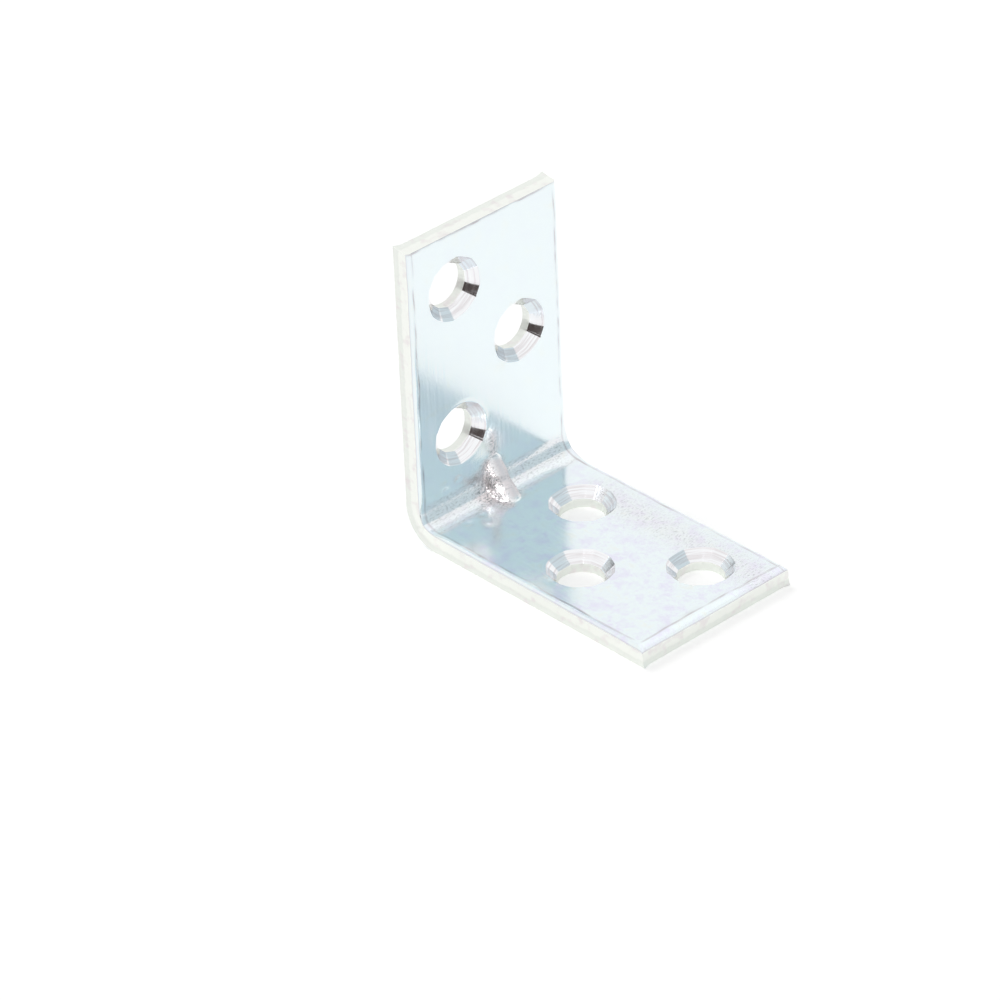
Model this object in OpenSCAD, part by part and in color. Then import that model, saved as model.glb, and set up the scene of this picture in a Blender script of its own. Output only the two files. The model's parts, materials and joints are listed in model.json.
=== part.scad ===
// Corner brace bracket: one steel strip, sheared, punched, countersunk and folded
// square, with a gusset rib pressed across the fold to stiffen it.
// One leg lies flat along X and the other stands along Z at its -X end, both with
// their backs outwards, and Y runs across the strip. The origin is the middle of
// the flat leg's back, which the bracket stands on. Millimetres.

/* [Strip] */
// Length of each leg, from the back of the other leg to the free end
leg_length = 40; // [38:1:80]
// Width of the strip
strip_width = 24; // [22:1:40]
// Thickness of the sheet
sheet_t = 2.5; // [2:0.1:3]
// Radius of the fold on the inside
fold_r = 2.6; // [2:0.1:3]

/* [Screw holes] */
// Screw holes in each leg
holes_per_leg = 3; // [1:1:3]
// Distance of the first hole from the back of the other leg
first_hole = 12.5; // [11.5:0.5:13]
// Step from one hole to the next along the leg
hole_step = 10; // [9:0.5:11]
// Distance between the two rows that the holes alternate between
row_gap = 10; // [8:0.5:12]
// Diameter of the screw bore
bore_d = 5.8; // [4:0.1:6.4]
// Diameter of the countersink at the inner face
sink_d = 8.3; // [7:0.1:9]
// Angle of the countersink, from wall to wall
sink_angle = 90; // [80:1:100]

/* [Gusset rib] */
// How far the rib's crest runs out along the flat leg from the inside corner
rib_run = 4; // [3.8:0.1:5]
// How far the rib's crest climbs the standing leg from the inside corner
rib_climb = 4.8; // [3.8:0.1:5]
// Radius of the rib's crest
rib_crest_r = 1.1; // [0.8:0.1:1.4]
// Lean of each flank of the rib from upright
rib_flank = 30; // [15:1:35]
// Share of the sheet left between the crest and the dent behind it
rib_wall = 0.9; // [0.8:0.05:1]
// Radius at the bottom of the dent behind the rib
dent_nose_r = 0.4; // [0.2:0.1:0.6]

/* [Sheared edges] */
// How far the rolled long edges reach in over the inner face
side_roll = 0.7; // [0.3:0.1:1]
// How far the rolled long edges drop
side_drop = 0.35; // [0.1:0.05:0.5]
// How far the flat leg's rolled end reaches in over its inner face
end_roll = 1.2; // [0.5:0.1:1.6]
// How far the flat leg's rolled end drops
end_drop = 0.4; // [0.1:0.05:0.6]
// How far the standing leg's rolled end reaches in over its inner face
top_roll = 0.6; // [0.3:0.1:1.6]
// How far the standing leg's rolled end drops
top_drop = 0.2; // [0.1:0.05:0.6]

/* [Hidden] */
$fn = 96;
zinc = [0.78, 0.84, 0.87];

// Cutters reach this far past the faces that they open
past = 1;
// Forms that are joined run this far into each other
lap = 0.2;

// The modules below work from the corner where the planes of the two backs meet,
// with the flat leg along +X and the standing leg along +Z.
// Radius of the fold on the outside, which is also where both legs start
fold_back_r = fold_r + sheet_t;
// Widening of the countersink for each millimetre of depth, and its depth, below
// which the bore's wall is straight
sink_slope = tan(sink_angle / 2);
sink_depth = (sink_d - bore_d) / 2 / sink_slope;

// Angle between the flat leg and the way that the rib faces, square to its crest
rib_lean = atan(rib_run / rib_climb);
// Heights in the rib are measured that way, out from the inside corner: its crest,
// its foot just under the fold, the bottom of the dent behind it, and the depth
// from that corner to the one behind it, where the dent opens.
rib_crest = rib_climb * sin(rib_lean);
spread = cos(rib_lean) + sin(rib_lean);
rib_foot = (spread - 1) * fold_r - 2 * lap;
dent_crest = rib_crest - sheet_t * rib_wall;
back_corner = spread * sheet_t;
// Length that takes the rib and the dent right across both legs
rib_span = 2 * (rib_run + rib_climb);

// What a rolled edge takes off a square corner: the corner is at the origin, the
// face runs to -X and the edge to -Y. The arc leaves the face without a crease.
module rolled_corner(reach, drop) {
    arc_r = (reach * reach + drop * drop) / (2 * drop);
    difference() {
        translate([-reach, -drop]) square([reach + past, drop + past]);
        translate([-reach, -arc_r]) circle(arc_r);
    }
}

// Section of the strip: the width along X, and the sheet from its back at 0 up to
// its inner face, whose long edges are rolled over by the shear.
module strip_section() {
    difference() {
        translate([-strip_width / 2, 0]) square([strip_width, sheet_t]);
        for (side = [0, 1])
            mirror([side, 0])
                translate([strip_width / 2, sheet_t]) rolled_corner(side_roll, side_drop);
    }
}

// One screw hole, with its axis on Z and the sheet's back at 0
module screw_hole() {
    translate([0, 0, -past]) cylinder(d = bore_d, h = sheet_t + 2 * past);
    translate([0, 0, sheet_t - sink_depth])
        cylinder(d1 = bore_d, d2 = sink_d + 2 * past * sink_slope, h = sink_depth + past);
}

// The flat leg, from the end of the fold to the free end, which is rolled over
module leg(roll, drop) {
    difference() {
        translate([fold_back_r, 0, 0])
            rotate([90, 0, 90]) linear_extrude(leg_length - fold_back_r) strip_section();
        translate([leg_length, strip_width / 2 + past, sheet_t])
            rotate([90, 0, 0]) linear_extrude(strip_width + 2 * past)
                rolled_corner(roll, drop);
        for (i = [0 : holes_per_leg - 1]) {
            row = i % 2 == 0 ? 1 : -1;
            translate([first_hole + i * hole_step, row * row_gap / 2, 0]) screw_hole();
        }
    }
}

// A half turn about the diagonal swaps the legs and the two rows of holes
module both_legs() {
    leg(end_roll, end_drop);
    rotate(180, [1, 0, 1]) leg(top_roll, top_drop);
}

// The quarter turn of the strip between the legs
module fold() {
    translate([fold_back_r, 0, fold_back_r])
        rotate([90, 180, 0]) rotate_extrude(angle = 90)
            translate([fold_back_r, 0]) rotate(90) strip_section();
}

// Section of a pressed ridge: a round crest at this height along Y, and flanks
// that leave it as tangents and spread down to the foot.
module ridge_section(crest, crest_r, foot) {
    tangent_x = crest_r * cos(rib_flank);
    tangent_y = crest - crest_r + crest_r * sin(rib_flank);
    foot_x = tangent_x + (tangent_y - foot) * tan(rib_flank);
    translate([0, crest - crest_r]) circle(crest_r);
    polygon([[-foot_x, foot], [foot_x, foot], [tangent_x, tangent_y], [-tangent_x, tangent_y]]);
}

// A ridge section run right across the fold, square to the way that the rib faces
module across_the_fold() {
    translate([sheet_t, 0, sheet_t])
        rotate([0, -rib_lean, 0]) rotate([0, 0, -90]) linear_extrude(rib_span, center = true)
            children();
}

// The rib inside the fold, whose ends stop just under both inner faces
module rib() {
    intersection() {
        across_the_fold() ridge_section(rib_crest, rib_crest_r, rib_foot);
        translate([sheet_t - lap, -strip_width / 2, sheet_t - lap]) cube(strip_width);
    }
}

// The dent that the press leaves in the back of the fold, whose ends run out
// through both backs
module dent() {
    across_the_fold() ridge_section(dent_crest, dent_nose_r, -back_corner);
}

module corner_brace() {
    color(zinc)
        translate([-leg_length / 2, 0, 0])
            difference() {
                union() {
                    both_legs();
                    fold();
                    rib();
                }
                dent();
            }
}

corner_brace();
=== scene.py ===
# Corner brace: a steel strip, sheared, punched, countersunk, folded square with a rib
# pressed across the fold, and zinc plated. It is drawn as a flat strip first, and then
# takes each of those steps in turn.
import json
import math
import random
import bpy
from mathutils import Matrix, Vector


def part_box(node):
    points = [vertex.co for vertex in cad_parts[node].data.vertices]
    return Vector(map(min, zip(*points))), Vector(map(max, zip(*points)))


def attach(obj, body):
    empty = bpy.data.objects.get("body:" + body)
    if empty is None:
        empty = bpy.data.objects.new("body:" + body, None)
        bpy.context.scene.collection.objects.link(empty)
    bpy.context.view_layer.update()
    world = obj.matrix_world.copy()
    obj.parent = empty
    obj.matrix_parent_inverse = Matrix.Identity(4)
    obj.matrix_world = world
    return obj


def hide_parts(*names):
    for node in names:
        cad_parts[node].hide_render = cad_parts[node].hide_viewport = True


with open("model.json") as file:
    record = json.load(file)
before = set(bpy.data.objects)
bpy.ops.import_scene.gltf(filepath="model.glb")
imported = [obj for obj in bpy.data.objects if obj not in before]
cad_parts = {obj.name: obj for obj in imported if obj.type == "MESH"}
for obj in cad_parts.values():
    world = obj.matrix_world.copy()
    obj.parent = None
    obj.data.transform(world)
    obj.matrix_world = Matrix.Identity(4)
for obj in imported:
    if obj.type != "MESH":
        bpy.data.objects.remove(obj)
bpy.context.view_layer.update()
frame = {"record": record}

from types import SimpleNamespace

import bmesh
import bpy
from bpy.props import FloatProperty, FloatVectorProperty, IntProperty, PointerProperty
from mathutils import Euler, Vector, noise

bl_info = {
    "name": "Pressed Corner Brace",
    "version": (1, 0, 0),
    "blender": (4, 5, 0),
    "location": "3D View > Sidebar > Corner Brace",
    "description": "Builds a zinc plated corner brace and the studio that shows it",
    "category": "Add Mesh",
}

MM = 0.001
MICRON = 0.000001

# The packed model gives the box and the screw holes, and the looks are fitted round them
cad_low, cad_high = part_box("corner_brace")
screw_mounts = [mount for mount in frame["record"]["mounts"] if mount["kind"] == "bore"]


def srgb(code):
    """The linear colour of an sRGB hex value such as 0xE7F1F3."""
    parts = [(code >> shift & 0xFF) / 255 for shift in (16, 8, 0)]
    return tuple(c / 12.92 if c <= 0.04045 else ((c + 0.055) / 1.055) ** 2.4 for c in parts)


class StripSizes(bpy.types.PropertyGroup):
    """The sheared strip and its fold"""
    leg_length: FloatProperty(
        name="Leg length", description="Length of each leg, from the back of the other leg",
        default=cad_high.x - cad_low.x, unit="LENGTH")
    width: FloatProperty(
        name="Width", description="Width of the strip",
        default=cad_high.y - cad_low.y, unit="LENGTH")
    thickness: FloatProperty(
        name="Thickness", description="Thickness of the sheet", default=2.5 * MM, unit="LENGTH")
    fold_radius: FloatProperty(
        name="Fold radius", description="Radius of the fold on the inside",
        default=2.6 * MM, unit="LENGTH")
    crease_depth: FloatProperty(
        name="Crease depth", description="Depth of the line that the punch leaves along the fold",
        default=0.05 * MM, unit="LENGTH")
    crease_width: FloatProperty(
        name="Crease width", description="Width of the line that the punch leaves along the fold",
        default=0.22 * MM, unit="LENGTH")
    drag_depth: FloatProperty(
        name="Drag depth", description="Depth of the drag lines along the fold",
        default=0.006 * MM, unit="LENGTH")
    waviness: FloatProperty(
        name="Waviness", description="How far the rolled sheet strays from flat",
        default=0.014 * MM, unit="LENGTH")
    ding_depth: FloatProperty(
        name="Ding depth", description="Depth of the small dings from handling",
        default=0.07 * MM, unit="LENGTH")


class HoleSizes(bpy.types.PropertyGroup):
    """The punched and countersunk screw holes"""
    bore_radius: FloatProperty(
        name="Bore radius", description="Radius of the screw bore",
        default=screw_mounts[0]["dims"]["r_mm"] * MM, unit="LENGTH")
    land: FloatProperty(
        name="Land", description="Height of the bore's straight wall above the back",
        default=screw_mounts[0]["dims"]["length_mm"] * MM, unit="LENGTH")
    sink_radius: FloatProperty(
        name="Countersink radius", description="Radius of the countersink at the inner face",
        default=4.15 * MM, unit="LENGTH")
    cell: FloatProperty(
        name="Cell", description="Side of the square of mesh that is fitted round each hole",
        default=10 * MM, unit="LENGTH")
    facets: IntProperty(
        name="Chatter facets", description="Flats that the chattering cutter leaves round a hole",
        default=13, min=3)
    chatter_seed: IntProperty(
        name="Chatter seed", description="Picks another pattern of flats, one for each leg", default=3)
    facet_tilt: FloatProperty(
        name="Facet tilt", description="How far a flat strays in or out of the cone at its sides",
        default=0.07 * MM, unit="LENGTH")
    lip_height: FloatProperty(
        name="Lip height", description="Height of the lip that the cutter raises at the rim",
        default=0.02 * MM, unit="LENGTH")
    lip_width: FloatProperty(
        name="Lip width", description="Width of the lip at the rim", default=0.3 * MM, unit="LENGTH")


class RibSizes(bpy.types.PropertyGroup):
    """The gusset rib pressed across the fold"""
    reach_flat: FloatProperty(
        name="Reach on the flat leg",
        description="Where the crest meets the flat leg, from the inside corner",
        default=4.0 * MM, unit="LENGTH")
    reach_upright: FloatProperty(
        name="Reach on the upright",
        description="Where the crest meets the upright, from the inside corner",
        default=4.8 * MM, unit="LENGTH")
    sag: FloatProperty(
        name="Sag", description="How far the crest sags between the legs",
        default=0.32 * MM, unit="LENGTH")
    crest_radius: FloatProperty(
        name="Crest radius", description="Radius of the crest", default=1.6 * MM, unit="LENGTH")
    flank: FloatProperty(
        name="Flank angle", description="Lean of each flank from upright",
        default=math.radians(22), subtype="ANGLE")
    foot: FloatProperty(
        name="Foot", description="Width of the fillet at the rib's foot", default=0.4 * MM, unit="LENGTH")
    wall: FloatProperty(
        name="Wall", description="Share of the sheet left between the crest and the dent behind it",
        default=0.9, subtype="FACTOR")
    dent_radius: FloatProperty(
        name="Dent radius", description="Radius at the bottom of the dent",
        default=0.4 * MM, unit="LENGTH")
    mottle: FloatProperty(
        name="Mottle", description="Height of the pebbling where the press has stretched the steel",
        default=0.05 * MM, unit="LENGTH")
    trail: FloatProperty(
        name="Trail", description="Height of the faint ridge that runs on up the upright",
        default=0.03 * MM, unit="LENGTH")


class EdgeSizes(bpy.types.PropertyGroup):
    """The sheared edges and ends"""
    side_reach: FloatProperty(
        name="Side roll", description="How far the rolled long edges reach in over the inner face",
        default=0.7 * MM, unit="LENGTH")
    side_drop: FloatProperty(
        name="Side drop", description="How far the rolled long edges drop",
        default=0.35 * MM, unit="LENGTH")
    fold_roll: FloatProperty(
        name="Roll at the fold", description="Share of the long edges' drop that is left at the fold",
        default=0.1, subtype="FACTOR")
    end_reach: FloatProperty(
        name="End roll", description="How far the flat leg's rolled end reaches in over its inner face",
        default=1.2 * MM, unit="LENGTH")
    end_drop: FloatProperty(
        name="End drop", description="How far the flat leg's rolled end drops",
        default=0.4 * MM, unit="LENGTH")
    top_share: FloatProperty(
        name="Top roll", description="Size of the roll at the upright's end, as a share of the flat leg's",
        default=0.12, subtype="FACTOR", min=0.05, max=1)
    droop: FloatProperty(
        name="Droop", description="How far the shear bends each end down before its roll",
        default=0.07 * MM, unit="LENGTH")
    droop_reach: FloatProperty(
        name="Droop reach", description="How far in from each end that bend starts",
        default=4.5 * MM, unit="LENGTH")
    tear: FloatProperty(
        name="Tear", description="How much the size of a roll changes along its edge",
        default=0.2, subtype="FACTOR")
    fracture: FloatProperty(
        name="Fracture", description="Share of the thickness that broke away below the cut",
        default=0.42, subtype="FACTOR")
    fracture_inset: FloatProperty(
        name="Fracture inset", description="How far the broken band stands back from the cut one",
        default=0.03 * MM, unit="LENGTH")
    burr: FloatProperty(
        name="Burr", description="How far the burr stands out at the back of an edge",
        default=0.06 * MM, unit="LENGTH")
    horn: FloatProperty(
        name="Corner horn", description="How far the burr is drawn out at the corners of the ends",
        default=0.28 * MM, unit="LENGTH")
    horn_width: FloatProperty(
        name="Horn width", description="How far from a corner its horn reaches along the end",
        default=0.7 * MM, unit="LENGTH")
    fold_bulge: FloatProperty(
        name="Fold bulge",
        description="How far the fold squeezes the sides out inside, and draws them in behind",
        default=0.2 * MM, unit="LENGTH")
    corner_dip: FloatProperty(
        name="Corner dip", description="How far each end of the fold dips towards the inside corner",
        default=0.2 * MM, unit="LENGTH")
    corner_reach: FloatProperty(
        name="Corner reach", description="How far that dip reaches in from the side",
        default=1.1 * MM, unit="LENGTH")
    wrinkle: FloatProperty(
        name="Wrinkle", description="Depth of the wrinkle that the fold leaves in each side",
        default=0.16 * MM, unit="LENGTH")


class FinishColours(bpy.types.PropertyGroup):
    """Colours of the plating"""
    zinc: FloatVectorProperty(
        name="Zinc", description="Zinc plate under its clear blue passivate",
        default=srgb(0xEDF6F8), size=3, subtype="COLOR", min=0, max=1)
    lavender: FloatVectorProperty(
        name="Lavender", description="Where the passivate film is thinner",
        default=srgb(0xE9E9F7), size=3, subtype="COLOR", min=0, max=1)
    straw: FloatVectorProperty(
        name="Straw", description="Where the passivate film is thicker",
        default=srgb(0xF0EFE4), size=3, subtype="COLOR", min=0, max=1)
    # Painted shade: the dark lines along the sharp edges and where each roll starts
    dulled: FloatVectorProperty(
        name="Painted edge shade", description="Painted shade along the sharp edges and where each roll starts",
        default=srgb(0xC0BABE), size=3, subtype="COLOR", min=0, max=1)
    sheared: FloatVectorProperty(
        name="Sheared edge", description="Plate over the part of an edge that was cut",
        default=srgb(0xF4F6F1), size=3, subtype="COLOR", min=0, max=1)
    torn: FloatVectorProperty(
        name="Torn edge", description="Plate over the part of an edge that broke away",
        default=srgb(0xEDF0EB), size=3, subtype="COLOR", min=0, max=1)
    countersunk: FloatVectorProperty(
        name="Countersink", description="Plate over the cut cones",
        default=srgb(0xF5F6F8), size=3, subtype="COLOR", min=0, max=1)
    # Painted reflection: stripes along the cutter's rings, for the changing room that the cones mirror
    ring: FloatVectorProperty(
        name="Cutter ring", description="Painted reflection stripes along the cutter's rings in the cones",
        default=srgb(0xE6E3E5), size=3, subtype="COLOR", min=0, max=1)
    pressed: FloatVectorProperty(
        name="Pressed", description="Plate over the steel that the press has stretched",
        default=srgb(0xE8E2E3), size=3, subtype="COLOR", min=0, max=1)
    pit: FloatVectorProperty(
        name="Pit", description="Dull plate in the pits of the stretched steel",
        default=srgb(0x8C9496), size=3, subtype="COLOR", min=0, max=1)


class StudioSettings(bpy.types.PropertyGroup):
    """The camera, the floor and the light"""
    azimuth: FloatProperty(
        name="Azimuth", description="Where the camera stands, round from the near side",
        default=math.radians(48.0), subtype="ANGLE")
    elevation: FloatProperty(
        name="Elevation", description="How far the camera looks down",
        default=math.radians(32.7), subtype="ANGLE")
    roll: FloatProperty(
        name="Roll", description="How far the camera is turned about its own axis",
        default=math.radians(-2.49), subtype="ANGLE")
    distance: FloatProperty(
        name="Distance", description="From the camera to the point that it looks at",
        default=717 * MM, unit="LENGTH")
    aim: FloatVectorProperty(
        name="Aim", description="The point that the camera looks at",
        default=(-14.15 * MM, -2.26 * MM, 3.36 * MM), size=3, unit="LENGTH", subtype="XYZ")
    lens: FloatProperty(
        name="Lens", description="Focal length in millimetres, on a 36 mm sensor",
        default=216, unit="CAMERA")
    floor_width: FloatProperty(
        name="Floor width", description="Side of the square floor", default=4, unit="LENGTH")
    paper: FloatVectorProperty(
        name="Paper", description="Colour of the floor",
        default=srgb(0xF4F4F4), size=3, subtype="COLOR", min=0, max=1)
    fill: FloatProperty(
        name="Fill", description="Strength of the even white light all round", default=0.62, min=0)
    lift: FloatProperty(
        name="Lift", description="How much whiter the floor is seen than it is lit", default=0.335, min=0)


class BraceSettings(bpy.types.PropertyGroup):
    """Everything that a user would change"""
    strip: PointerProperty(type=StripSizes)
    holes: PointerProperty(type=HoleSizes)
    rib: PointerProperty(type=RibSizes)
    edges: PointerProperty(type=EdgeSizes)
    finish: PointerProperty(type=FinishColours)
    studio: PointerProperty(type=StudioSettings)


def plain(group):
    """The values of a property group, for loops that read them many times."""
    return SimpleNamespace(**{name: getattr(group, name) for name in type(group).__annotations__})


# Steps in which the mesh is drawn: along and across the legs, and finer about the rib
COARSE = 10 / 24 * MM
ACROSS = 0.3 * MM
FINE = COARSE / 4
FOLD_STEP = 0.12 * MM
RIB_SIDE = 2.5 * MM
SHEAR_LINE = 0.3 * MM
ROLL_STEPS = 7
WALL_STEP = 0.2 * MM
RING_STEPS = 8
BORE_STEPS = 4
WELD = 0.5 * MICRON
CREASE = math.radians(30)

# How far the marks of folding spread along the strip, each way from the middle of the fold:
# the sides' bulge and the rib's sag, the flatter side roll, and the dip of the fold's ends
BULGE_SPREAD = 2.2 * MM
FLATTER_SPREAD = 2.4 * MM
DIP_SPREAD = 1.1 * MM

# Width of the zone along each edge in which its burr, horn and bulge fade in
EDGE_ZONE = 1 * MM

# Painted shade in thin lines: along a sharp edge, with its strength, and where a roll starts
EDGE_LINE = 0.07 * MM
EDGE_LINE_SHARE = 0.6
START_LINE = 0.12 * MM

# Grains of the pebbling, and of the waviness along and across the strip
PEBBLE = 0.18 * MM
WAVES = (13 * MM, 9 * MM)

# A chatter flat is sunk into its cone as far as the side of a polygon of this radius
FLAT_RADIUS = 2.5 * MM

ROLLED, SHEARED, COUNTERSUNK = range(3)

# What the steps leave on the inner face, and the painted shade along its edges. Each is a method of Brace and
# a layer of the mesh.
MARKS = ("worked", "rubbed", "dulled")

# Small round dings from handling: (s, v, radius) in millimetres, with s and v as in Brace
DINGS = (
    (-2.7, -7.8, 0.4), (-3.4, -5.8, 0.4), (-6.7, -10.2, 0.4), (2.6, -5.1, 0.6), (4.1, -5.7, 0.9),
    (2.9, -7.4, 0.6), (-15, 1.5, 0.5), (19, -9.2, 0.6), (24, 8.6, 0.5))


def steps(start, end, size):
    """Even steps of about this size from start to end, without the end itself."""
    count = max(1, round((end - start) / size))
    return [start + (end - start) * i / count for i in range(count)]


def arc_radius(reach, drop):
    """Radius of the arc that leaves a face as a tangent and has this reach and drop."""
    return (reach * reach + drop * drop) / (2 * drop)


def roll_drop(inset, reach, drop):
    """How far a rolled edge has dropped at this distance in from it."""
    if inset >= reach:
        return 0.0
    radius = arc_radius(reach, drop)
    return radius - math.sqrt(radius ** 2 - (reach - inset) ** 2)


def roll_steps(edge, reach, drop):
    """Places across a rolled edge at even turns of its arc, up to and with the edge."""
    radius = arc_radius(reach, drop)
    turn = math.asin(reach / radius)
    return [edge - reach + radius * math.sin(turn * i / ROLL_STEPS) for i in range(ROLL_STEPS + 1)]


def fade(x, start, end):
    """0 up to start, 1 from end on, and an even rise between. It runs backwards if start is
    the larger."""
    share = min(1.0, max(0.0, (x - start) / (end - start)))
    return share * share * (3 - 2 * share)


def bell(x):
    """1 at 0, and less on both sides of it, down to a third at 1."""
    return math.exp(-x * x)


def filleted(rise, foot):
    """(height, share) of a ridge over a face that it leaves in a fillet of this width. The
    share runs from 0 on the bare face to 1 on the ridge."""
    share = fade(rise, -foot, foot)
    if share in (0.0, 1.0):
        return max(0.0, rise), share
    return rise * share + foot * share * (1 - share) / 2, share


def grain(s, v, along, across, seed):
    """Smooth noise between about -1 and 1, with grains of this size. Each seed gives another."""
    return noise.noise(Vector((s / along, v / across, seed)))


class Brace:
    """The brace as a flat strip. A point of it has s along the strip from the middle of the
    fold, positive on the flat leg, v across it and w up from its back."""

    def __init__(self, settings):
        self.strip = plain(settings.strip)
        self.hole = plain(settings.holes)
        self.rib = plain(settings.rib)
        self.edge = plain(settings.edges)
        strip = self.strip
        self.half_fold = strip.fold_radius * math.pi / 4
        self.back_radius = strip.fold_radius + strip.thickness
        self.half_width = strip.width / 2
        self.half_length = self.along(strip.leg_length)
        self.holes = [self.hole_at(mount) for mount in screw_mounts]

    def along(self, distance):
        """s of a point of the flat leg at this distance from the back of the upright."""
        return distance - self.back_radius + self.half_fold

    def hole_at(self, mount):
        """(s, v) of the screw hole that a mount stands for."""
        x, y, z = mount["pos_m"]
        if mount["axis"][2]:
            return self.along(x - cad_low.x), y
        return -self.along(z - cad_low.z), y

    def lines_along(self):
        """Places along the strip of the mesh's rows, from end to end."""
        first = min(abs(s) for s, v in self.holes) - self.hole.cell / 2
        last = max(abs(s) for s, v in self.holes) + self.hole.cell / 2
        edge = self.edge
        half = steps(0, self.half_fold, FOLD_STEP) + steps(self.half_fold, first, FOLD_STEP)
        roll = self.half_length - edge.end_reach
        half += steps(first, last, COARSE) + steps(last, roll - SHEAR_LINE, COARSE)
        half += steps(roll - SHEAR_LINE, roll, SHEAR_LINE / 3)
        half += roll_steps(self.half_length, edge.end_reach, edge.end_drop)
        return [-s for s in reversed(half[1:])] + half

    def lines_across(self):
        """Places across the strip of the mesh's rows, from side to side."""
        edge = self.edge
        half = steps(0, RIB_SIDE, FINE) + steps(RIB_SIDE, self.hole.cell, ACROSS)
        roll = self.half_width - edge.side_reach
        half += steps(self.hole.cell, roll - SHEAR_LINE, ACROSS)
        half += steps(roll - SHEAR_LINE, roll, SHEAR_LINE / 3)
        half += roll_steps(self.half_width, edge.side_reach, edge.side_drop)
        return [-v for v in reversed(half[1:])] + half

    def rib_rise(self, s, v, crest_radius, lower):
        """How far the ridge of this crest radius stands above the inner face, square to it.
        The ridge sags a little from leg to leg, and lower sinks it towards the corner."""
        rib, radius = self.rib, self.strip.fold_radius
        height = rib.reach_flat * rib.reach_upright / math.hypot(rib.reach_flat, rib.reach_upright)
        sine, cosine = math.sin(rib.flank), math.cos(rib.flank)
        if abs(v) < crest_radius * cosine:
            drop = crest_radius - math.sqrt(crest_radius ** 2 - v ** 2)
        else:
            drop = crest_radius * (1 - sine) + (abs(v) - crest_radius * cosine) * cosine / sine
        share = (height - lower - drop) / height

        # The ridge shrinks towards the corner, and is nowhere near the sheet this far down
        if share < 0.05:
            return -self.back_radius
        flat, upright = rib.reach_flat * share, rib.reach_upright * share
        if s > self.half_fold:
            rise = upright * (1 - (s - self.half_fold + radius) / flat)
        elif s < -self.half_fold:
            rise = flat * (1 - (-s - self.half_fold + radius) / upright)
        else:
            turn = (self.half_fold - s) / radius
            slope = math.sin(turn) / flat + math.cos(turn) / upright
            rise = radius - (radius / flat + radius / upright - 1) / slope
        return rise - rib.sag * bell(s / BULGE_SPREAD)

    def inner_face(self, s, v):
        """w of the inner face."""
        strip, rib, edge, hole = self.strip, self.rib, self.edge, self.hole
        height, on_rib = filleted(self.rib_rise(s, v, rib.crest_radius, 0), rib.foot)
        w = strip.thickness + height
        w += self.worked(s, v) * rib.mottle * grain(s, v, PEBBLE, PEBBLE, 3.7)
        past_tip = -s - self.half_fold - rib.reach_upright + strip.fold_radius
        w += rib.trail * bell(v / (0.5 * MM)) * fade(past_tip, -MM, 0) * fade(past_tip, 4 * MM, 3 * MM)
        in_fold = fade(abs(s), self.half_fold + 0.4 * MM, self.half_fold - 0.4 * MM)
        broken = 0.7 + 0.5 * grain(0, v, MM, 0.8 * MM, 4.4)
        w -= strip.crease_depth * broken * bell(s / strip.crease_width) * (1 - on_rib)
        w += in_fold * strip.drag_depth * grain(s, v, 0.3 * MM, 9 * MM, 8.1)
        rolls = self.rolls(s, v)
        w -= math.hypot(*(roll_drop(inset / size, reach, drop) * size for inset, size, reach, drop in rolls))
        w -= edge.droop * max(0.0, 1 - (self.half_length - abs(s)) / edge.droop_reach) ** 2
        to_corner = 1 - (self.half_width - abs(v)) / edge.corner_reach
        if to_corner > 0:
            w -= edge.corner_dip * to_corner * bell(s / DIP_SPREAD)
        w += strip.waviness * grain(s, v, *WAVES, 1.3)
        for ding_s, ding_v, radius in DINGS:
            w -= strip.ding_depth * bell(math.hypot(s - ding_s * MM, v - ding_v * MM) / (radius * MM))
        for hole_s, hole_v in self.holes:
            outside = math.hypot(s - hole_s, v - hole_v) - hole.sink_radius
            if abs(outside) < 4 * hole.lip_width:
                w += hole.lip_height * bell(outside / hole.lip_width)
        return w

    def rolls(self, s, v):
        """(distance in from the edge, size, reach, drop) of the rolled end, then of the rolled side."""
        edge = self.edge
        end_size = (1 if s > 0 else edge.top_share) * (1 + edge.tear * grain(v, 0, 3 * MM, MM, 12.5))
        side_size = 1 + edge.tear * grain(s, 0, 3 * MM, MM, 14.5 + (v > 0))
        side_drop = edge.side_drop * (1 - (1 - edge.fold_roll) * bell(s / FLATTER_SPREAD))
        return ((self.half_length - abs(s), end_size, edge.end_reach, edge.end_drop),
                (self.half_width - abs(v), side_size, edge.side_reach, side_drop))

    def dulled(self, s, v):
        """How much painted shade is here, from 0 to 1. It lies in a thin line along each sharp
        edge, and in a broken one where each roll starts, for the shade that falls at those edges."""
        broken = 0.5 + 0.9 * grain(s, v, 1.5 * MM, 1.5 * MM, 17.3)
        lines = []
        for inset, size, reach, drop in self.rolls(s, v):
            lines.append(EDGE_LINE_SHARE * bell(inset / EDGE_LINE))
            lines.append(broken * bell((inset - reach * size) / START_LINE))
        return min(1.0, max(0.0, *lines))

    def back_face(self, s, v):
        """w of the back, with the dent that the press leaves behind the rib."""
        strip, rib = self.strip, self.rib
        lower = strip.thickness * rib.wall
        rise = self.rib_rise(s, v, rib.dent_radius, lower) + strip.thickness
        depth, _ = filleted(rise, rib.foot)
        return depth + strip.waviness * max(0.0, grain(s, v, *WAVES, 6.4))

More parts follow.
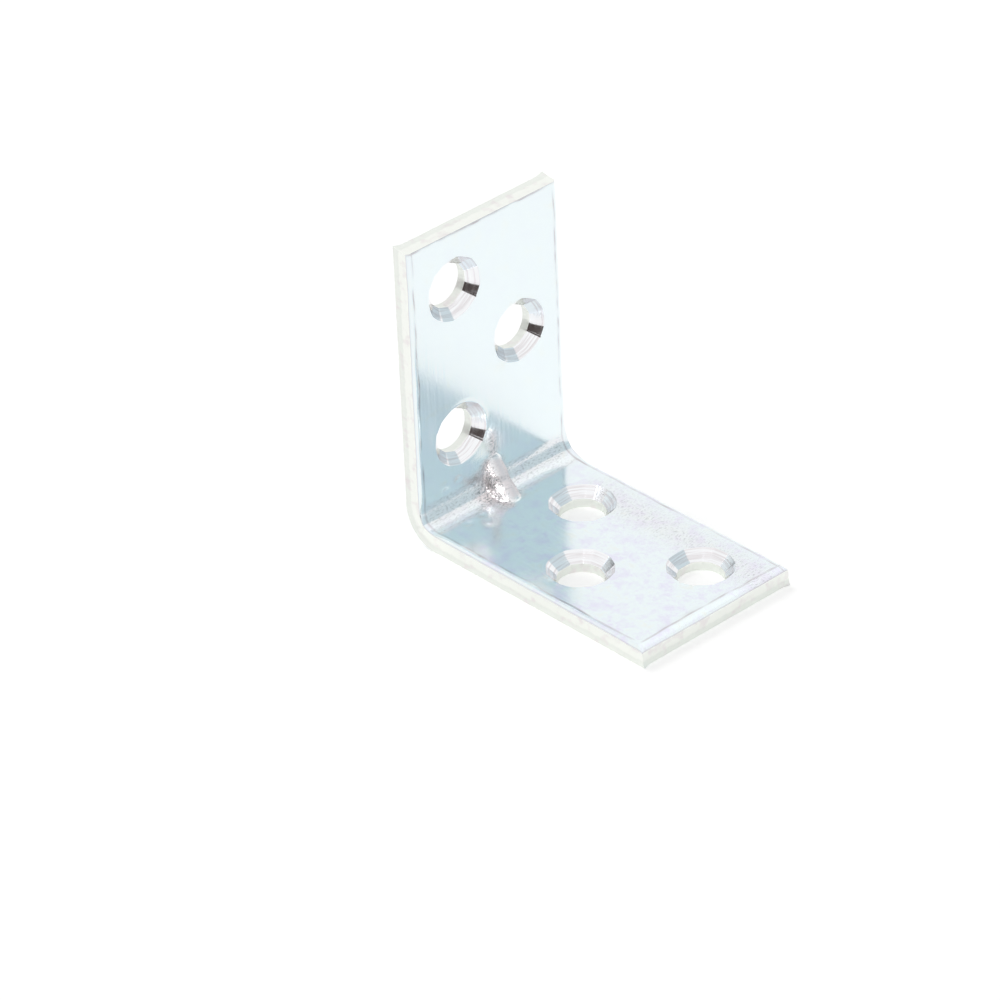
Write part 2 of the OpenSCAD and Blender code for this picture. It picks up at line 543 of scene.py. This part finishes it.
    def worked(self, s, v):
        """How much the press has roughened the inner face here, from 0 to 1."""
        near_flank = bell((v + 1.25 * MM) / (0.75 * MM)) * fade(abs(s), 4.5 * MM, 3.5 * MM)
        far_flank = 0.45 * bell((v - 1.2 * MM) / (0.6 * MM)) * fade(abs(s), 4 * MM, 3 * MM)
        near_foot = bell((v + 2.6 * MM) / (1.2 * MM)) * bell((s - 0.4 * MM) / (1.3 * MM))
        trail = bell(v / (0.7 * MM)) * fade(s, -3.5 * MM, -4.5 * MM) * fade(s, -8.5 * MM, -6.5 * MM)
        in_fold = fade(abs(s), self.half_fold + 0.3 * MM, self.half_fold - 0.3 * MM)
        fold = in_fold * (0.38 - 0.2 * fade(s, 0, MM)) + 0.2 * bell((s - self.half_fold) / (0.3 * MM))
        fold *= fade(self.half_width - abs(v), 0, 1.4 * MM)
        far_side = 0.3 * bell((v - 8 * MM) / (2.4 * MM)) * fade(s, 5 * MM, 9 * MM)
        return min(1.0, near_flank + far_flank + near_foot + trail + fold + far_side)

    def rubbed(self, s, v):
        """How much the punch has rubbed the rib's crest here, from 0 to 1."""
        rise = self.rib_rise(s, v, self.rib.crest_radius, 0)
        return fade(rise, 0, 0.6 * MM) * fade(v, -0.75 * MM, -0.3 * MM)

    def wrinkle(self, s, share):
        """How far the side is drawn in by the wrinkle at the fold."""
        edge = self.edge
        drift = 0.12 * MM * math.sin(share * 9)
        along = fade(share, 0.1, 0.4) * fade(share, 0.95, 0.65)
        return edge.wrinkle * bell((s - 0.1 * MM - drift) / (0.16 * MM)) * along

    def edge_offset(self, along, share, seed):
        """How far a sheared edge stands out at this share of the thickness, up from the back."""
        edge = self.edge
        broken = fade(share, edge.fracture, edge.fracture - 0.08)
        torn = 0.5 + 0.5 * grain(along, share * self.strip.thickness, 0.5 * MM, 0.35 * MM, seed)
        nick = fade(grain(along, share, 1.4 * MM, 1.0, seed + 5), 0.55, 0.8)
        burr = bell(share / 0.07) * (0.6 + 0.4 * grain(along, 0, 2.5 * MM, MM, seed + 9))
        return edge.burr * burr - edge.fracture_inset * (broken * torn + 0.8 * nick)

    def formed(self, point):
        """The point once the sheet is rolled, sheared and pressed, but not yet folded."""
        s, v, w = point
        edge = self.edge
        share = w / self.strip.thickness
        back = self.back_face(s, v)
        w = back + (self.inner_face(s, v) - back) * share
        at_side = fade(abs(v), self.half_width - EDGE_ZONE, self.half_width)
        at_end = fade(abs(s), self.half_length - EDGE_ZONE, self.half_length)
        if at_side:
            squeezed = edge.fold_bulge * (2 * share - 1) * bell(s / BULGE_SPREAD) - self.wrinkle(s, share)
            v += math.copysign(at_side * (squeezed + self.edge_offset(s, share, 2.2 + (v > 0))), v)
        if at_end:
            horn = edge.horn * bell((self.half_width - abs(v)) / edge.horn_width) * (1 - share) ** 2
            s += math.copysign(at_end * (horn + self.edge_offset(v, share, 5.2 + (s > 0))), s)
        return s, v, w

    def folded(self, point):
        """The place in the frame of a point of the formed strip."""
        s, v, w = point
        if abs(s) <= self.half_fold:
            turn = (self.half_fold - s) / self.strip.fold_radius
        else:
            turn = 0 if s > 0 else math.pi / 2
        up_x, up_z = math.sin(turn), math.cos(turn)
        past = max(0.0, abs(s) - self.half_fold)
        x = self.back_radius - (self.back_radius - w) * up_x + past * (s > 0)
        z = self.back_radius - (self.back_radius - w) * up_z + past * (s < 0)
        return Vector((cad_low.x + x, v, cad_low.z + z))


def lay(bm, rows, finish, closed=False, left_out=()):
    """Quads between rows of points. A closed row runs on from its last point to its first.
    left_out has squares, as (s, v) of the middle and half the side, that get no quads."""
    made = [[bm.verts.new(point) for point in row] for row in rows]
    for lower, upper in zip(made, made[1:]):
        for i in range(len(lower) - (not closed)):
            j = (i + 1) % len(lower)
            middle = (lower[i].co + upper[j].co) / 2
            if any(max(abs(middle.x - s), abs(middle.y - v)) < half for s, v, half in left_out):
                continue
            face = bm.faces.new((lower[i], lower[j], upper[j], upper[i]))
            face.material_index = finish
            face.smooth = finish != COUNTERSUNK


def chatter(facets, seed, tilt):
    """A function that gives how far a chattering cutter strays at a turn about its axis, at the
    rim for rise 1 and at the bore for 0. Each facet is flat and leans its own way."""
    draw = random.Random(seed)
    ends = [(i + draw.uniform(-0.25, 0.25)) / facets * math.tau for i in range(facets)]
    leans = [(draw.uniform(-1, 1), draw.uniform(-1, 1)) for _ in ends]

    def offset(turn, rise):
        turn = (turn - ends[0]) % math.tau
        starts = [end - ends[0] for end in ends] + [math.tau]
        i = max(k for k in range(facets) if starts[k] <= turn)
        middle = (starts[i] + starts[i + 1]) / 2
        half = (starts[i + 1] - starts[i]) / 2
        side, lean = leans[i]
        flat = 1 - math.cos(half) / math.cos(turn - middle)
        across = (turn - middle) / half
        return tilt * (side * across * (0.4 + 0.6 * rise) + lean * (rise - 0.5)) - flat * FLAT_RADIUS

    return offset


def punch_hole(bm, brace, number, lines_along, lines_across):
    """The square of mesh round one hole, from the inner face down the cone and bore to the back."""
    hole, top = brace.hole, brace.strip.thickness
    s, v = brace.holes[number]
    half = hole.cell / 2
    cell_s = [x for x in lines_along if abs(x - s) < half + WELD]
    cell_v = [y for y in lines_across if abs(y - v) < half + WELD]
    square = [(x, cell_v[0]) for x in cell_s[:-1]]
    square += [(cell_s[-1], y) for y in cell_v[:-1]]
    square += [(x, cell_v[-1]) for x in reversed(cell_s[1:])]
    square += [(cell_s[0], y) for y in reversed(cell_v[1:])]
    turns = [math.atan2(y - v, x - s) for x, y in square]
    stray = chatter(hole.facets, hole.chatter_seed + (s < 0), hole.facet_tilt)

    def ring(w, rise, round_off=1.0):
        """Points round the hole, on the cone at this rise from bore to rim."""
        made = []
        for turn in turns:
            radius = hole.bore_radius + (hole.sink_radius - hole.bore_radius) * rise
            radius += round_off * stray(turn, rise)
            made.append((s + radius * math.cos(turn), v + radius * math.sin(turn), w))
        return made

    def fan(inside, w):
        """Rings from the hole out to the square, closer together near the hole."""
        rings = []
        for i in range(RING_STEPS + 1):
            out = (i / RING_STEPS) ** 1.4
            rings.append([
                (a + (x - a) * out, b + (y - b) * out, w)
                for (a, b, _), (x, y) in zip(inside, square)])
        return rings

    rises = [i / RING_STEPS for i in range(RING_STEPS + 1)]
    cone = [ring(hole.land + (top - hole.land) * rise, rise) for rise in rises]
    levels = [i / BORE_STEPS for i in range(BORE_STEPS + 1)]
    bore = [ring(hole.land * level, 0, level) for level in levels]
    lay(bm, fan(ring(top, 1), top), ROLLED, closed=True)
    lay(bm, cone, COUNTERSUNK, closed=True)
    lay(bm, bore, SHEARED, closed=True)
    lay(bm, fan(ring(0, 0, 0), 0), ROLLED, closed=True)


def flat_blank(brace):
    """A closed mesh of the flat strip with its holes, in strip coordinates."""
    bm = bmesh.new()
    top, side, end = brace.strip.thickness, brace.half_width, brace.half_length
    lines_along, lines_across = brace.lines_along(), brace.lines_across()
    levels = steps(0, top, WALL_STEP) + [top]
    squares = [(s, v, brace.hole.cell / 2) for s, v in brace.holes]
    for w in (0, top):
        lay(bm, [[(s, v, w) for v in lines_across] for s in lines_along], ROLLED, left_out=squares)
    for v in (-side, side):
        lay(bm, [[(s, v, w) for s in lines_along] for w in levels], SHEARED)
    for s in (-end, end):
        lay(bm, [[(s, v, w) for v in lines_across] for w in levels], SHEARED)
    for number in range(len(brace.holes)):
        punch_hole(bm, brace, number, lines_along, lines_across)
    bmesh.ops.delete(bm, geom=[v for v in bm.verts if not v.link_faces], context="VERTS")
    bmesh.ops.remove_doubles(bm, verts=bm.verts, dist=WELD)
    bmesh.ops.recalc_face_normals(bm, faces=bm.faces)
    if not all(edge.is_manifold for edge in bm.edges):
        raise RuntimeError("the strip's mesh isn't closed")
    return bm


# A colour Mix node's sockets share their names with its other kinds, so they go by number
SHARE, FIRST, SECOND, MIXED = 0, 6, 7, 2


def add(tree, kind, inputs, output=0, **settings):
    """Adds a node with these settings, and returns one of its outputs, if it has any. Each
    input is a value, or an output that is linked to it."""
    node = tree.nodes.new(kind)
    for name, value in settings.items():
        setattr(node, name, value)
    for name, value in inputs.items():
        socket = node.inputs[name]
        if isinstance(value, bpy.types.NodeSocket):
            tree.links.new(value, socket)
        else:
            socket.default_value = (*value, 1) if socket.type == "RGBA" else value
    return node.outputs[output] if node.outputs else None


def new_material(name):
    """(material, its node tree) with no nodes in it."""
    material = bpy.data.materials.new(name)
    material.use_nodes = True
    material.node_tree.nodes.clear()
    return material, material.node_tree


def rolled_zinc(finish):
    """Bright zinc electroplate with a clear blue passivate, over cold rolled sheet. It mirrors
    its surroundings softly, with a cool tint that turns to lavender where the film is thin,
    fine drag lines from the rolls, and a pitted and duller skin where it was pressed. Painted
    glare keeps the lavender faint on the upright, and painted shade lines the sharp edges."""
    material, tree = new_material("zinc_plate_on_rolled_steel")
    strip = add(tree, "ShaderNodeAttribute", {}, "Vector", attribute_name="strip")
    worked, rubbed, dulled = (
        add(tree, "ShaderNodeAttribute", {}, "Fac", attribute_name=name) for name in MARKS)
    place = add(tree, "ShaderNodeTexCoord", {}, "Object")

    # The film thins in clouds of some 2.5 mm that are grainy at their edges. The lavender is kept
    # faint on the upright and grows along the flat leg: painted glare, for the white floor that the upright
    # mirrors
    painted_glare_fade = add(tree, "ShaderNodeSeparateXYZ", {"Vector": strip}, "X")
    painted_glare_fade = add(tree, "ShaderNodeMapRange", {
        "Value": painted_glare_fade, "From Min": -4 * MM, "From Max": 10 * MM, "To Min": 0.15, "To Max": 1})
    film = add(tree, "ShaderNodeTexNoise", {
        "Vector": strip, "Scale": 1 / (2.5 * MM), "Detail": 8, "Roughness": 0.72}, "Fac")
    thin = add(tree, "ShaderNodeMapRange", {
        "Value": film, "From Min": 0.47, "From Max": 0.62, "To Max": painted_glare_fade})
    thick = add(tree, "ShaderNodeMapRange", {
        "Value": film, "From Min": 0.44, "From Max": 0.34, "To Max": 0.35})
    colour = add(tree, "ShaderNodeMix", {
        SHARE: thin, FIRST: finish.zinc, SECOND: finish.lavender}, MIXED, data_type="RGBA")
    colour = add(tree, "ShaderNodeMix", {
        SHARE: thick, FIRST: colour, SECOND: finish.straw}, MIXED, data_type="RGBA")
    colour = add(tree, "ShaderNodeMix", {
        SHARE: worked, FIRST: colour, SECOND: finish.pressed}, MIXED, data_type="RGBA")
    colour = add(tree, "ShaderNodeMix", {
        SHARE: rubbed, FIRST: colour, SECOND: finish.pressed}, MIXED, data_type="RGBA")

    # Where the sheet was stretched there are pits, 0.15 mm by 0.4 mm and along the fold
    pit_at = add(tree, "ShaderNodeVectorMath", {
        0: place, 1: (0.15 * MM, 0.4 * MM, 0.15 * MM)}, operation="DIVIDE")
    pits = add(tree, "ShaderNodeTexNoise", {"Vector": pit_at, "Scale": 1, "Detail": 3}, "Fac")
    pitted = add(tree, "ShaderNodeMapRange", {
        "Value": pits, "From Min": 0.52, "From Max": 0.66, "To Max": worked})
    colour = add(tree, "ShaderNodeMix", {
        SHARE: pitted, FIRST: colour, SECOND: finish.pit}, MIXED, data_type="RGBA")
    # Painted shade: a thin dark line along each sharp edge, and a broken one where each roll starts
    colour = add(tree, "ShaderNodeMix", {
        SHARE: dulled, FIRST: colour, SECOND: finish.dulled}, MIXED, data_type="RGBA")

    # Drag lines of the rolls run along the strip, 0.15 mm apart and some 20 mm long
    line_at = add(tree, "ShaderNodeVectorMath", {
        0: strip, 1: (20 * MM, 0.15 * MM, 0.15 * MM)}, operation="DIVIDE")
    lines = add(tree, "ShaderNodeTexNoise", {"Vector": line_at, "Scale": 1, "Detail": 2}, "Fac")
    rough = add(tree, "ShaderNodeMapRange", {
        "Value": lines, "From Min": 0.3, "From Max": 0.7, "To Min": 0.13, "To Max": 0.2})
    rough = add(tree, "ShaderNodeMath", {0: worked, 1: 0.1, 2: rough}, operation="MULTIPLY_ADD")
    rough = add(tree, "ShaderNodeMath", {0: rubbed, 1: 0.3, 2: rough}, operation="MULTIPLY_ADD")

    # The plate's own grain is finer than a pixel, and is drawn at 0.22 mm to show
    specks = add(tree, "ShaderNodeTexNoise", {
        "Vector": place, "Scale": 1 / (0.22 * MM), "Detail": 3}, "Fac")
    pebbles = add(tree, "ShaderNodeMapRange", {
        "Value": worked, "To Min": 2 * MICRON, "To Max": 60 * MICRON})
    relief = add(tree, "ShaderNodeBump", {"Height": lines, "Distance": 0.35 * MICRON})
    relief = add(tree, "ShaderNodeBump", {"Height": specks, "Distance": pebbles, "Normal": relief})
    surface = add(tree, "ShaderNodeBsdfPrincipled", {
        "Base Color": colour, "Metallic": 1, "Roughness": rough, "Normal": relief})
    add(tree, "ShaderNodeOutputMaterial", {"Surface": surface})
    return material


def sheared_zinc(finish):
    """Zinc over sheared steel. The part of an edge that was cut is burnished and bright. The
    part below it, which broke away, is coarser and greyer, and both are warmer than the face."""
    material, tree = new_material("zinc_plate_on_sheared_steel")
    strip = add(tree, "ShaderNodeAttribute", {}, "Vector", attribute_name="strip")

    # The torn part starts 1.05 mm up from the back, along a line that is ragged every 0.9 mm
    height = add(tree, "ShaderNodeSeparateXYZ", {"Vector": strip}, "Z")
    ragged = add(tree, "ShaderNodeTexNoise", {"Vector": strip, "Scale": 1 / (0.9 * MM), "Detail": 4}, "Fac")
    ragged = add(tree, "ShaderNodeMath", {
        0: ragged, 1: 0.7 * MM, 2: height}, operation="MULTIPLY_ADD")
    torn = add(tree, "ShaderNodeMapRange", {
        "Value": ragged, "From Min": 1.5 * MM, "From Max": 1.3 * MM})
    colour = add(tree, "ShaderNodeMix", {
        SHARE: torn, FIRST: finish.sheared, SECOND: finish.torn}, MIXED, data_type="RGBA")

    # Dull patches of the plate are some 1.5 mm across
    patches = add(tree, "ShaderNodeTexNoise", {"Vector": strip, "Scale": 1 / (1.5 * MM), "Detail": 5}, "Fac")
    patches = add(tree, "ShaderNodeMapRange", {
        "Value": patches, "From Min": 0.53, "From Max": 0.68, "To Max": 0.7})
    colour = add(tree, "ShaderNodeMix", {
        SHARE: patches, FIRST: colour, SECOND: finish.pressed}, MIXED, data_type="RGBA")

    # Cut marks run through the thickness, 0.2 mm apart
    mark_at = add(tree, "ShaderNodeVectorMath", {
        0: strip, 1: (0.2 * MM, 0.2 * MM, 2 * MM)}, operation="DIVIDE")
    marks = add(tree, "ShaderNodeTexNoise", {"Vector": mark_at, "Scale": 1, "Detail": 3}, "Fac")
    rough = add(tree, "ShaderNodeMapRange", {
        "Value": marks, "From Min": 0.3, "From Max": 0.7, "To Min": 0.34, "To Max": 0.5})
    rough = add(tree, "ShaderNodeMath", {0: torn, 1: 0.08, 2: rough}, operation="MULTIPLY_ADD")
    relief = add(tree, "ShaderNodeBump", {"Height": marks, "Distance": 8 * MICRON})
    surface = add(tree, "ShaderNodeBsdfPrincipled", {
        "Base Color": colour, "Metallic": 1, "Roughness": rough, "Normal": relief})
    add(tree, "ShaderNodeOutputMaterial", {"Surface": surface})
    return material


def countersunk_zinc(finish):
    """Zinc over a countersink cut in steel. The cutter's rings show through the plate, with
    painted reflection in stripes along them, and its flats each mirror another part of the room."""
    material, tree = new_material("zinc_plate_on_countersunk_steel")
    strip = add(tree, "ShaderNodeAttribute", {}, "Vector", attribute_name="strip")

    # The cutter's rings are 0.2 mm apart up the cone
    ring_at = add(tree, "ShaderNodeVectorMath", {
        0: strip, 1: (6 * MM, 6 * MM, 0.2 * MM)}, operation="DIVIDE")
    rings = add(tree, "ShaderNodeTexNoise", {"Vector": ring_at, "Scale": 1, "Detail": 2}, "Fac")
    rough = add(tree, "ShaderNodeMapRange", {
        "Value": rings, "From Min": 0.3, "From Max": 0.7, "To Min": 0.08, "To Max": 0.18})
    relief = add(tree, "ShaderNodeBump", {"Height": rings, "Distance": 6 * MICRON})

    # Painted reflection: the rings darken the colour in stripes, for the changing room that the cone mirrors
    painted_ring_reflection = add(tree, "ShaderNodeMapRange", {"Value": rings, "From Min": 0.45, "From Max": 0.62})
    colour = add(tree, "ShaderNodeMix", {
        SHARE: painted_ring_reflection, FIRST: finish.countersunk, SECOND: finish.ring}, MIXED, data_type="RGBA")
    surface = add(tree, "ShaderNodeBsdfPrincipled", {
        "Base Color": colour, "Metallic": 1, "Roughness": rough, "Normal": relief})
    add(tree, "ShaderNodeOutputMaterial", {"Surface": surface})
    return material


class PressBrace(bpy.types.Operator):
    """Shear, punch, countersink, press, fold and plate the brace"""
    bl_idname = "brace.press"
    bl_label = "Press the brace"

    def execute(self, context):
        settings = context.scene.corner_brace
        brace = Brace(settings)
        bm = flat_blank(brace)
        flat_places = bm.verts.layers.float_vector.new("strip")
        marks = {name: bm.verts.layers.float.new(name) for name in MARKS}
        for vert in bm.verts:
            flat = vert.co.copy()
            vert[flat_places] = flat
            if flat.z > brace.strip.thickness / 2:
                for name, layer in marks.items():
                    vert[layer] = getattr(brace, name)(flat.x, flat.y)
            vert.co = brace.folded(brace.formed(flat))
        bmesh.ops.recalc_face_normals(bm, faces=bm.faces)
        mesh = bpy.data.meshes.new("pressed_brace")
        bm.to_mesh(mesh)
        bm.free()
        mesh.set_sharp_from_angle(angle=CREASE)
        finish = plain(settings.finish)
        for material in (rolled_zinc(finish), sheared_zinc(finish), countersunk_zinc(finish)):
            mesh.materials.append(material)
        piece = bpy.data.objects.new("pressed_brace", mesh)
        context.scene.collection.objects.link(piece)
        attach(piece, "root")
        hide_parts("corner_brace")
        return {"FINISHED"}


def rectangle(name, material, width, height, z=0.0):
    """A rectangle in the scene, about its middle and flat at this height."""
    mesh = bpy.data.meshes.new(name)
    x, y = width / 2, height / 2
    mesh.from_pydata([(-x, -y, z), (x, -y, z), (x, y, z), (-x, y, z)], [], [(0, 1, 2, 3)])
    mesh.materials.append(material)
    made = bpy.data.objects.new(name, mesh)
    bpy.context.scene.collection.objects.link(made)
    return made


def stand_card(name, material, azimuth, elevation, width, height, distance):
    """A card that faces the object from this direction in degrees, and shows only in its
    reflections."""
    card = rectangle(name, material, width, height)
    place_round(card, math.radians(azimuth), math.radians(elevation), distance)
    card.visible_camera = card.visible_diffuse = card.visible_shadow = False


def place_round(thing, azimuth, elevation, distance, aim=Vector(), roll=0.0):
    """Puts a thing in this direction from aim, with its -Z axis at aim."""
    back = Euler((math.pi / 2 - elevation, 0, azimuth)).to_matrix() @ Vector((0, 0, 1))
    thing.rotation_mode = "QUATERNION"
    thing.location = aim + back * distance
    thing.rotation_quaternion = back.to_track_quat("Z", "Y") @ Euler((0, 0, roll)).to_quaternion()


def glow(name, colour, strength):
    """A material that only shines, for a card."""
    material, tree = new_material(name)
    shine = add(tree, "ShaderNodeEmission", {"Color": colour, "Strength": strength})
    add(tree, "ShaderNodeOutputMaterial", {"Surface": shine})
    return material


def seen_directly(tree):
    """A socket that is 1 for what the camera sees, straight, mirrored or through glass."""
    straight, mirrored, through = (
        add(tree, "ShaderNodeLightPath", {}, f"Is {ray} Ray") for ray in ("Camera", "Glossy", "Transmission"))
    seen = add(tree, "ShaderNodeMath", {0: straight, 1: mirrored}, operation="MAXIMUM")
    return add(tree, "ShaderNodeMath", {0: seen, 1: through}, operation="MAXIMUM")


def white_paper(studio):
    """Matt white paper, seen a little whiter than it is lit, so that only shadows show on it."""
    material, tree = new_material("white_paper_floor")
    lift = add(tree, "ShaderNodeMath", {0: seen_directly(tree), 1: studio.lift}, operation="MULTIPLY")
    matt = add(tree, "ShaderNodeBsdfDiffuse", {"Color": studio.paper})
    shine = add(tree, "ShaderNodeEmission", {"Strength": lift})
    both = add(tree, "ShaderNodeAddShader", {0: matt, 1: shine})
    add(tree, "ShaderNodeOutputMaterial", {"Surface": both})
    return material


# Each lamp's azimuth and elevation in degrees, its distance and size in metres, its power in
# watts, and whether it shows in the metal or only lights the floor
LAMPS = (
    ("glint_lamp", 14, 34, 0.9, 0.45, 2.2, True),
    ("shadow_lamp", 272, 50, 1.0, 0.5, 2.5, False))

# Azimuth and elevation in degrees, and width, height and distance in metres
WHITE_CARD = (205, 62, 0.7, 0.7, 1.0)
GREY_CARD = (132, 21, 1.3, 0.78, 1.0)
WHITE_STRENGTH = 1.08

# The dark cards stand side by side on the floor: azimuth in degrees and height in metres
DARK_CARDS = ((-45, 0.36), (-15, 0.36), (15, 0.3), (45, 0.24), (75, 0.24))
DARK_DISTANCE = 1.05
DARK_WIDTH = 0.6


class SetStudio(bpy.types.Operator):
    """Set up the camera, the white floor and the soft light"""
    bl_idname = "brace.studio"
    bl_label = "Set up the studio"

    def execute(self, context):
        scene = context.scene
        studio = scene.corner_brace.studio
        self.set_camera(scene, studio)
        self.lay_floor(studio)
        self.light_room(scene, studio)
        self.stand_cards()
        scene.view_settings.view_transform = "Standard"
        return {"FINISHED"}

    def set_camera(self, scene, studio):
        """The camera at the photo's angle."""
        camera = bpy.data.objects.new("camera", bpy.data.cameras.new("camera"))
        scene.collection.objects.link(camera)
        camera.data.lens = studio.lens
        camera.data.sensor_width = 36
        aim = Vector(studio.aim)
        place_round(camera, studio.azimuth, studio.elevation, studio.distance, aim, studio.roll)
        scene.camera = camera

    def lay_floor(self, studio):
        """White paper, flat under the bracket's lower back."""
        paper = white_paper(studio)
        floor = rectangle("floor", paper, studio.floor_width, studio.floor_width, cad_low.z)

    def light_room(self, scene, studio):
        """Even white light all round, a lamp that shows as glints on the metal, and one that
        casts the soft shadow on the floor."""
        world = bpy.data.worlds.new("white_room")
        world.use_nodes = True
        tree = world.node_tree
        tree.nodes.clear()
        strength = add(tree, "ShaderNodeMapRange", {
            "Value": seen_directly(tree), "To Min": studio.fill, "To Max": 1})
        white = add(tree, "ShaderNodeBackground", {"Color": (1, 1, 1), "Strength": strength})
        add(tree, "ShaderNodeOutputWorld", {"Surface": white})
        scene.world = world
        for name, azimuth, elevation, distance, size, power, glints in LAMPS:
            lamp = bpy.data.objects.new(name, bpy.data.lights.new(name, "AREA"))
            lamp.data.size, lamp.data.energy = size, power
            lamp.visible_glossy, lamp.visible_diffuse = glints, not glints
            place_round(lamp, math.radians(azimuth), math.radians(elevation), distance)
            scene.collection.objects.link(lamp)

    def stand_cards(self):
        """White, grey and dark cards, which give the bright metal something to mirror."""
        white = glow("white_card", (1, 1, 1), WHITE_STRENGTH)
        stand_card("white_card_above", white, *WHITE_CARD)
        grey = glow("grey_card", srgb(0xD1DEE3), 1)
        dark = glow("dark_card", srgb(0x453C3A), 1)
        stand_card("grey_card_behind", grey, *GREY_CARD)
        for number, (azimuth, height) in enumerate(DARK_CARDS):
            elevation = math.degrees(math.atan(height / 2 / DARK_DISTANCE))
            stand_card(f"dark_card_{number}", dark, azimuth, elevation, DARK_WIDTH, height, DARK_DISTANCE)


class BracePanel(bpy.types.Panel):
    """The brace's sizes and steps in the sidebar"""
    bl_idname = "BRACE_PT_sizes"
    bl_label = "Corner Brace"
    bl_space_type = "VIEW_3D"
    bl_region_type = "UI"
    bl_category = "Corner Brace"

    def draw(self, context):
        layout = self.layout
        settings = context.scene.corner_brace
        for name in BraceSettings.__annotations__:
            group = getattr(settings, name)
            box = layout.box()
            box.label(text=type(group).__doc__)
            for value in type(group).__annotations__:
                box.prop(group, value)
        for operator in (PressBrace, SetStudio):
            layout.operator(operator.bl_idname)


CLASSES = (
    StripSizes, HoleSizes, RibSizes, EdgeSizes, FinishColours, StudioSettings, BraceSettings,
    PressBrace, SetStudio, BracePanel)


def register():
    for cls in CLASSES:
        bpy.utils.register_class(cls)
    bpy.types.Scene.corner_brace = PointerProperty(type=BraceSettings)


def unregister():
    del bpy.types.Scene.corner_brace
    for cls in reversed(CLASSES):
        bpy.utils.unregister_class(cls)


def main():
    register()
    bpy.ops.brace.press()
    bpy.ops.brace.studio()


if __name__ == "__main__":
    main()
